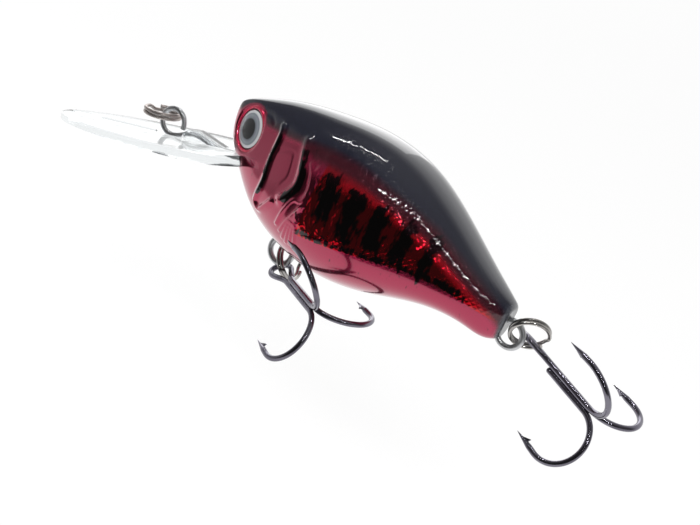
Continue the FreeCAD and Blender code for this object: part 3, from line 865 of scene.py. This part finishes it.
@dataclass
class LureBody:
    """The two glued shell halves, seen as one painted skin, and the eye rims on it."""

    lines: BodyLines = field(default_factory=BodyLines)
    layout: PrintLayout = field(default_factory=PrintLayout)
    # Rings of points: close at the nose and over the engraved head, wider behind, and round the tail's edge.
    around: int = 336
    nose_rings: int = 22
    nose_end: float = 2.0
    head_step: float = 0.2
    head_end: float = 23.0
    aft_step: float = 0.34
    edge_round: float = 0.55
    edge_rings: int = 6
    cap_rings: int = 6
    carvings: tuple[Carving, ...] = (
        # front edge of the cheek plate, and round its lower end
        Carving(((10.2, 10.9), (10.7, 10.1), (11.0, 8.5), (11.2, 6.2), (11.6, 3.0), (11.3, 0.4),
                 (11.3, -0.8), (12.5, -1.3), (13.6, 0.0), (14.6, 1.5)), 0.85, 0.4),
        # hollow between the cheek plate and the gill cover
        Carving(((15.6, 11.6), (16.3, 10.2), (17.2, 8.4), (17.7, 6.4), (17.2, 4.6), (16.0, 2.6)), 1.5, 0.42),
        # gill cover's rear edge down to the throat
        Carving(((18.2, 9.7), (19.2, 8.4), (19.9, 6.5), (19.6, 4.6), (18.3, 4.0), (17.3, 1.7),
                 (16.7, -0.9)), 0.55, 0.26),
        # brow ridge over the eye
        Carving(((5.7, 10.4), (7.2, 10.7), (8.4, 10.2)), 0.6, -0.16),
        # thin bead inside the cheek plate
        Carving(((11.9, 7.9), (13.2, 8.8), (14.5, 9.2), (15.2, 8.0), (15.6, 6.0), (15.0, 4.4)), 0.45, -0.05),
        # pectoral fin's leading edge
        Carving(((19.6, 9.9), (19.4, 8.6), (20.4, 6.6), (20.1, 4.6), (20.7, 1.4)), 0.4, 0.14),
    )
    # The fin's rays fan out from its root through one level to their tips, with a slight bow.
    ray_root: tuple[float, float] = (20.1, 4.2)
    ray_level: float = 1.2
    ray_bow: float = 0.2
    ray_width: float = 0.42
    ray_depth: float = 0.16
    ray_tips: Points = ((17.6, -1.6), (18.3, -2.3), (19.1, -2.6), (19.9, -2.4), (20.7, -1.7))
    # Half widths over which the engraving comes in, so that the keel and the back stay smooth.
    carved_side: Span = (0.6, 2.0)
    # Seat under each eye: flat to the first radius, and gone at the second.
    seat_edge: Span = (3.1, 3.6)
    seat_depth: float = 0.6
    seat_reach: float = 3.0
    # Rim round the eye: radius and height over the foil's face.
    rim_outline: Points = ((3.03, -0.7), (3.03, 0.05), (3.1, 0.2), (3.25, 0.27), (3.45, 0.18), (3.75, -0.2),
                           (3.95, -0.9), (3.03, -0.9))
    rim_steps: int = 96

    def ring_places(self) -> tuple[np.ndarray, np.ndarray]:
        """Place the rings of points along the body.

        Returns:
            Distance behind the nose and inset of each ring, nose first.
        """
        nose = np.linspace(0, math.sqrt(self.nose_end), self.nose_rings) ** 2
        head = np.arange(self.nose_end + self.head_step, self.head_end, self.head_step)
        flat_end = self.lines.length - self.edge_round
        aft = np.arange(self.head_end, flat_end, self.aft_step)
        turn = np.linspace(0, math.pi / 2, self.edge_rings)
        edge = flat_end + self.edge_round * np.sin(turn)
        distance = np.concatenate([nose, head, aft, edge, np.full(self.cap_rings, self.lines.length)])
        inset = np.zeros(len(distance))
        first = len(nose) + len(head) + len(aft)
        inset[first:first + self.edge_rings] = self.edge_round * (1 - np.cos(turn))
        inset[first + self.edge_rings:] = self.edge_round
        return distance, inset

    def eye_frame(self, side: Side) -> tuple[Vector, Vector]:
        """Find one eye from its packed disc.

        Args:
            side: which eye.

        Returns:
            Centre of the disc's outer face, in metres, and its outward direction.
        """
        low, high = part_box(side.word + "_eye_disc")
        centre = (low + high) / 2
        points = [v.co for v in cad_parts[side.word + "_eye_disc"].data.vertices]
        spread = np.array(points, float) - np.array(centre, float)
        normal = Vector(np.linalg.svd(spread, full_matrices=False)[2][2])
        if normal.y * side.value < 0:
            normal.negate()
        face = max(np.array(points, float) @ np.array(normal, float)) - centre.dot(normal)
        return centre + normal * face, normal

    def build(self, finish: bpy.types.Material, rim: bpy.types.Material) -> None:
        """Make the skin and the eye rims.

        Args:
            finish: the skin's material.
            rim: the rims' material.
        """
        skin = self.skin(finish)
        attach(skin, "lure_body")
        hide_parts("left_shell", "right_shell")
        log.info("body skin: %d points", len(skin.data.vertices))
        for side in Side:
            piece = turn_on_eye(side.word + "_eye_rim", self.rim_outline, self.rim_steps, True,
                                self.eye_frame(side), rim)
            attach(piece, "lure_body")
            log.info("%s eye rim", side.word)

    def skin(self, finish: bpy.types.Material) -> bpy.types.Object:
        """Shape a sphere's rings into the body, carve it, and store its paint masks.

        Args:
            finish: the skin's material.

        Returns:
            The skin object.
        """
        distance, inset = self.ring_places()
        last = len(distance) - 1
        ball = bmesh.new()
        bmesh.ops.create_uvsphere(ball, u_segments=self.around, v_segments=last, radius=1.0)
        piece = to_object("body_skin", ball, finish)
        data = piece.data
        unit = np.zeros(len(data.vertices) * 3)
        data.vertices.foreach_get("co", unit)
        unit = unit.reshape(-1, 3)
        ring = np.rint(np.arccos(np.clip(unit[:, 2], -1, 1)) / math.pi * last).astype(int)
        turn = np.arctan2(unit[:, 1], unit[:, 0])
        behind = distance[ring]
        points = self.lines.skin(behind, turn, inset[ring])
        back_and_keel = np.array([math.pi / 2, -math.pi / 2])
        middle = self.lines.skin(np.full(2, self.lines.length), back_and_keel, np.zeros(2)).mean(axis=0)
        to_middle = np.clip((ring - (last - self.cap_rings)) / self.cap_rings, 0, 1)[:, None]
        points = points + (np.where([True, False, False], points, middle) - points) * to_middle
        points += self.outward(behind, turn) * -self.carved(points)[:, None]
        points = self.eye_seats(points)
        data.vertices.foreach_set("co", (points * MM).ravel())
        data.update()
        self.paint(data, points)
        bm = bmesh.new()
        bm.from_mesh(data)
        bmesh.ops.recalc_face_normals(bm, faces=bm.faces[:])
        bm.to_mesh(data)
        bm.free()
        return piece

    def outward(self, distance: np.ndarray, turn: np.ndarray) -> np.ndarray:
        """Outward directions of the smooth skin, from a short step along it and one round it.

        Args:
            distance: millimetres behind the nose.
            turn: angle round the section.

        Returns:
            Array of unit vectors.
        """
        step, sweep, margin = 0.05, 0.01, 0.001
        none = np.zeros(len(distance))
        safe = np.clip(distance, step + margin, self.lines.length - step - margin)
        along = self.lines.skin(safe + step, turn, none) - self.lines.skin(safe - step, turn, none)
        around = self.lines.skin(safe, turn + sweep, none) - self.lines.skin(safe, turn - sweep, none)
        normal = np.cross(around, along)
        size = np.linalg.norm(normal, axis=1, keepdims=True)
        return normal / np.maximum(size, 1e-9)

    def carved(self, points: np.ndarray) -> np.ndarray:
        """Depth of every engraving at every point.

        Args:
            points: the smooth skin's points in millimetres.

        Returns:
            Millimetres inwards.
        """
        view = np.stack([self.lines.nose_x - points[:, 0], points[:, 2]], axis=1)
        root = self.ray_root
        rays = tuple(Carving((root, ((root[0] + tip[0]) / 2 - self.ray_bow, self.ray_level), tip),
                             self.ray_width, self.ray_depth) for tip in self.ray_tips)
        depth = np.zeros(len(points))
        for line in self.carvings + rays:
            depth += line.relief(view)
        return depth * smooth_step(*self.carved_side, np.abs(points[:, 1]))

    def eye_seats(self, points: np.ndarray) -> np.ndarray:
        """Sink the skin under each eye, so that only the rim and the eye show there.

        Args:
            points: the skin's points in millimetres.

        Returns:
            The points with both seats sunk.
        """
        for side in Side:
            centre, normal = self.eye_frame(side)
            spot, out = np.array(centre) / MM, np.array(normal)
            rel = points - spot
            height = rel @ out
            radius = np.linalg.norm(rel - height[:, None] * out, axis=1)
            near = (np.abs(height) < self.seat_reach) & (points[:, 1] * side.value > 0)
            sink = np.where(near, 1 - smooth_step(*self.seat_edge, radius), 0)
            goal = np.minimum(height, -self.seat_depth)
            points = points + ((goal - height) * sink)[:, None] * out
        return points

    def paint(self, data: bpy.types.Mesh, points: np.ndarray) -> None:
        """Store the masks that the skin's finish reads, and each point's place on the flank.

        Args:
            data: the skin's mesh.
            points: its points in millimetres.
        """
        eyes = [(*self.eye_frame(side), side) for side in Side]
        for name, values in self.layout.masks(points, eyes, self.lines.nose_x).items():
            data.attributes.new(name, "FLOAT", "POINT").data.foreach_set("value", values.astype(np.float32))
        behind, below = self.lines.nose_x - points[:, 0], self.lines.waterline - points[:, 2]
        width = self.lines.width.at(np.clip(behind, 0, self.lines.length))
        girth = below + np.sign(below) * np.maximum(width - np.abs(points[:, 1]), 0)
        place = np.stack([behind, girth, np.sign(points[:, 1]) * self.layout.flank_gap], axis=1)
        data.attributes.new("flank", "FLOAT_VECTOR", "POINT").data.foreach_set(
            "vector", place.astype(np.float32).ravel())


@dataclass
class Fittings:
    """Everything that keeps its CAD shape: lip, eyes, wires, rings, hooks and the inside pieces."""

    metals: tuple[tuple[PlatedMetal, tuple[str, ...]], ...] = (
        (STAINLESS, ("line_tie_wire", "belly_hanger", "tail_hanger")),
        (NICKEL, ("belly_split_ring", "tail_split_ring")),
        (BLACK_NICKEL, ("belly_double_hook", "belly_single_hook", "tail_double_hook", "tail_single_hook")),
        (WARM_NICKEL, ("line_tie_ring",)),
        (BALL_STEEL, ("front_rattle_ball", "rear_rattle_ball")),
        (LEAD, ("keel_weight",)))
    # Cap of resin on each eye: a low dome, sunk a little into its seat.
    cap_radius: float = 2.97
    cap_rise: float = 0.5
    cap_sunk: float = 0.08
    cap_rings: int = 14
    cap_steps: int = 64

    def build(self, body: LureBody) -> None:
        """Dress every CAD node that shows or lies inside.

        Args:
            body: the lure's body, for the eyes' places.
        """
        dress("diving_lip", ClearPolycarbonate().material())
        for side in Side:
            centre, normal = body.eye_frame(side)
            foil = EyeFoil(tuple(centre), tuple(normal), side).material()
            dress(side.word + "_eye_disc", foil)
            cap = turn_on_eye(side.word + "_eye_cap", self.cap_outline(), self.cap_steps, False,
                              (centre, normal), foil)
            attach(cap, "lure_body")
            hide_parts(side.word + "_eye_dome")
            log.info("%s eye cap", side.word)
        for metal, names in self.metals:
            material = metal.material()
            for name in names:
                dress(name, material)

    def cap_outline(self) -> Points:
        """Outline of the low dome, on which the print shows as the resin lifts it to the eye.

        Returns:
            Radius and height of each point, from the top of the dome to the axis below it.
        """
        ball = (self.cap_radius ** 2 + self.cap_rise ** 2) / (2 * self.cap_rise)
        widest = math.asin(self.cap_radius / ball)
        turns = [widest * i / self.cap_rings for i in range(self.cap_rings + 1)]
        dome = tuple((ball * math.sin(turn), self.cap_rise - ball * (1 - math.cos(turn))) for turn in turns)
        return dome + ((self.cap_radius, -self.cap_sunk), (0.0, -self.cap_sunk))


# ---------------------------------------------------------------- studio
@dataclass(frozen=True)
class StudioLamp:
    """One flat lamp between two places, in millimetres, with its power in watts."""

    name: str
    start: Place
    end: Place
    width: float
    watts: float
    mirrored: bool = True


@dataclass
class Studio:
    """Pale floor, soft lamps and the camera; sizes are in millimetres."""

    eye: Place = (-110.1, 182.4, 75.1)
    target: Place = (-35.1, -2.1, -3.4)
    roll_deg: float = 26.3
    lens_mm: float = 76.1
    sensor_mm: float = 36.0
    near_mm: float = 5.0
    floor_drop: float = 22.0
    floor_radius: float = 1500.0
    floor_steps: int = 96
    # Share of the floor that is seen as plain white; the rest takes light and shadow.
    floor_white: float = 0.92
    # The white sheet that polished metal mirrors: its edge on the lure's left, and the dim bench past it.
    sheet_edge: float = 38.0
    sheet_slant: float = 0.35
    sheet_blur: float = 4.0
    bench_reach: float = 80.0
    bench_levels: Span = (0.05, 0.5)
    # Past this slanting line the bench is dark, which keeps the head's plates from going pale.
    dark_slant: float = -0.75
    dark_blur: float = 50.0
    dark_level: float = 0.05
    # Brightness of the room by direction, as the shell mirrors it: axis, start and end of a change,
    # and the level before and after it.
    far_wall: tuple[str, float, float, float, float] = ("Y", -0.65, -0.35, 1.0, 0.2)
    near_wall: tuple[str, float, float, float, float] = ("Y", 0.3, 0.6, 1.0, 0.25)
    head_wall: tuple[str, float, float, float, float] = ("X", 0.7, 0.9, 0.0, 0.42)
    head_wall_top: tuple[str, float, float, float, float] = ("Z", 0.45, 0.25, 0.0, 1.0)
    overhead: tuple[str, float, float, float, float] = ("Z", 0.7, 1.0, 0.0, 1.0)
    ceiling: float = 0.5
    # Three thin strips draw the fine bright lines on the coat, the softbox lifts the far side of the
    # back to grey, and the key, which nothing mirrors, lights the floor and the matt parts.
    lamps: tuple[StudioLamp, ...] = (
        StudioLamp("side strip", (5, 229, 191), (-150, 182, 236), 1.2, 0.12),
        StudioLamp("rear strip", (-150, 182, 236), (-262, 206, 100), 1.2, 0.1),
        StudioLamp("top strip", (184, 61, 219), (25, -1, 309), 2.2, 0.14),
        StudioLamp("back softbox", (110, -600, 260), (780, -600, 260), 520, 1.5),
        StudioLamp("soft key", (-180, 260, 300), (40, 260, 300), 200, 2.2, mirrored=False))

    def camera(self) -> None:
        """Place the camera."""
        data = bpy.data.cameras.new("camera")
        data.lens = self.lens_mm
        data.sensor_width = self.sensor_mm
        data.clip_start = self.near_mm * MM
        camera = bpy.data.objects.new("camera", data)
        bpy.context.scene.collection.objects.link(camera)
        start, end = Vector(self.eye) * MM, Vector(self.target) * MM
        aim = (end - start).to_track_quat("-Z", "Y")
        roll = Matrix.Rotation(math.radians(self.roll_deg), 4, "Z")
        camera.matrix_world = Matrix.Translation(start) @ aim.to_matrix().to_4x4() @ roll
        bpy.context.scene.camera = camera

    def floor(self) -> None:
        """Lay the floor below the lure."""
        low, high = cad_box
        disc = bmesh.new()
        bmesh.ops.create_circle(disc, cap_ends=True, segments=self.floor_steps, radius=self.floor_radius * MM)
        middle = (Vector(low) + Vector(high)) / 2
        disc.transform(Matrix.Translation((middle.x, middle.y, low[2] - self.floor_drop * MM)))
        to_object("floor", disc, self.floor_finish())

    def floor_finish(self) -> bpy.types.Material:
        """White floor; polished metal mirrors it as a white sheet on a dim bench.

        Returns:
            The finish.
        """
        material, tree = new_material("pale studio floor")
        rays = add_node(tree, "ShaderNodeLightPath").outputs
        direct = add_node(tree, "ShaderNodeMath",
                          {0: rays["Is Camera Ray"], 1: rays["Is Transmission Ray"]}, operation="MAXIMUM")
        share = add_node(tree, "ShaderNodeMath", {0: direct.outputs[0], 1: self.floor_white},
                         operation="MULTIPLY")
        matt = add_node(tree, "ShaderNodeBsdfDiffuse", {"Color": linear("f4f4f4")})
        white = add_node(tree, "ShaderNodeEmission", {"Color": (1, 1, 1, 1), "Strength": 1.0})
        mirrored = add_node(tree, "ShaderNodeEmission",
                            {"Color": (1, 1, 1, 1), "Strength": self.mirrored_floor(tree)})
        lit = add_node(tree, "ShaderNodeMixShader",
                       {0: share.outputs[0], 1: matt.outputs[0], 2: white.outputs[0]})
        mixed = add_node(tree, "ShaderNodeMixShader",
                         {0: rays["Is Glossy Ray"], 1: lit.outputs[0], 2: mirrored.outputs[0]})
        add_node(tree, "ShaderNodeOutputMaterial", {"Surface": mixed.outputs[0]})
        return material

    def mirrored_floor(self, tree: bpy.types.NodeTree) -> bpy.types.NodeSocket:
        """Brightness of the floor as polished metal mirrors it.

        Args:
            tree: the floor's node tree.

        Returns:
            The brightness socket.
        """
        spot = add_node(tree, "ShaderNodeSeparateXYZ",
                        {0: add_node(tree, "ShaderNodeTexCoord").outputs["Object"]}).outputs
        past_sheet, past_dark = (
            add_node(tree, "ShaderNodeMath", {0: spot["X"], 1: slant, 2: spot["Y"]},
                     operation="MULTIPLY_ADD").outputs[0]
            for slant in (self.sheet_slant, self.dark_slant))
        dim, bright = self.bench_levels
        outside, bench, aside = (
            add_node(tree, "ShaderNodeMapRange",
                     {"Value": value, "From Min": start * MM, "From Max": end * MM,
                      "To Min": low, "To Max": high}).outputs[0]
            for value, start, end, low, high in (
                (past_sheet, self.sheet_edge, self.sheet_edge + self.sheet_blur, 0.0, 1.0),
                (spot["X"], 0.0, self.bench_reach, dim, bright),
                (past_dark, 0.0, self.dark_blur, 0.0, 1.0)))
        shaded = add_node(tree, "ShaderNodeMix", {0: aside, 2: bench, 3: self.dark_level})
        return add_node(tree, "ShaderNodeMix", {0: outside, 2: 1.0, 3: shaded.outputs[0]}).outputs[0]

    def world(self) -> None:
        """Light the room: white on the lure's right, dim on its left, grey ahead of it and overhead."""
        world = bpy.data.worlds.new("studio")
        bpy.context.scene.world = world
        world.use_nodes = True
        tree = world.node_tree
        tree.nodes.clear()
        way = add_node(tree, "ShaderNodeSeparateXYZ",
                       {0: add_node(tree, "ShaderNodeTexCoord").outputs["Generated"]}).outputs
        far, near, head, head_top, high = (
            add_node(tree, "ShaderNodeMapRange",
                     {"Value": way[axis], "From Min": start, "From Max": end,
                      "To Min": before, "To Max": after}).outputs[0]
            for axis, start, end, before, after in (
                self.far_wall, self.near_wall, self.head_wall, self.head_wall_top, self.overhead))
        walls = add_node(tree, "ShaderNodeMath", {0: far, 1: near}, operation="MULTIPLY")
        front = add_node(tree, "ShaderNodeMath", {0: head, 1: head_top}, operation="MULTIPLY")
        room = add_node(tree, "ShaderNodeMath", {0: walls.outputs[0], 1: front.outputs[0]},
                        operation="MAXIMUM")
        level = add_node(tree, "ShaderNodeMix", {0: high, 2: room.outputs[0], 3: self.ceiling})
        rays = add_node(tree, "ShaderNodeLightPath").outputs
        seen = add_node(tree, "ShaderNodeMath",
                        {0: rays["Is Camera Ray"], 1: rays["Is Transmission Ray"]}, operation="MAXIMUM")
        strength = add_node(tree, "ShaderNodeMix", {0: seen.outputs[0], 2: level.outputs[0], 3: 1.0})
        shader = add_node(tree, "ShaderNodeBackground",
                          {"Color": (1, 1, 1, 1), "Strength": strength.outputs[0]})
        add_node(tree, "ShaderNodeOutputWorld", {"Surface": shader.outputs[0]})

    def hang(self, lamp: StudioLamp) -> None:
        """Hang one flat lamp, facing the lure.

        Args:
            lamp: its places, width and power.
        """
        first, last = Vector(lamp.start) * MM, Vector(lamp.end) * MM
        data = bpy.data.lights.new(lamp.name, "AREA")
        data.shape = "RECTANGLE"
        data.size, data.size_y = (last - first).length, lamp.width * MM
        data.energy = lamp.watts
        light = bpy.data.objects.new(lamp.name, data)
        bpy.context.scene.collection.objects.link(light)
        middle = (first + last) / 2
        back = (middle - Vector(self.target) * MM).normalized()
        along = (last - first).normalized()
        along = (along - back * along.dot(back)).normalized()
        turn = Matrix((along, back.cross(along), back)).transposed().to_4x4()
        light.matrix_world = Matrix.Translation(middle) @ turn
        light.visible_glossy = lamp.mirrored

    def build(self) -> None:
        """Make the whole studio."""
        self.camera()
        self.floor()
        self.world()
        for lamp in self.lamps:
            self.hang(lamp)
        bpy.context.scene.view_settings.view_transform = "Standard"


def main() -> None:
    """Build the lure's looks and the studio in order."""
    logging.basicConfig(level=logging.INFO, format="%(name)s: %(message)s")
    body = LureBody()
    body.build(LureSkin().material(), CandyRim().material())
    Fittings().build(body)
    Studio().build()


if __name__ == "__main__":
    main()
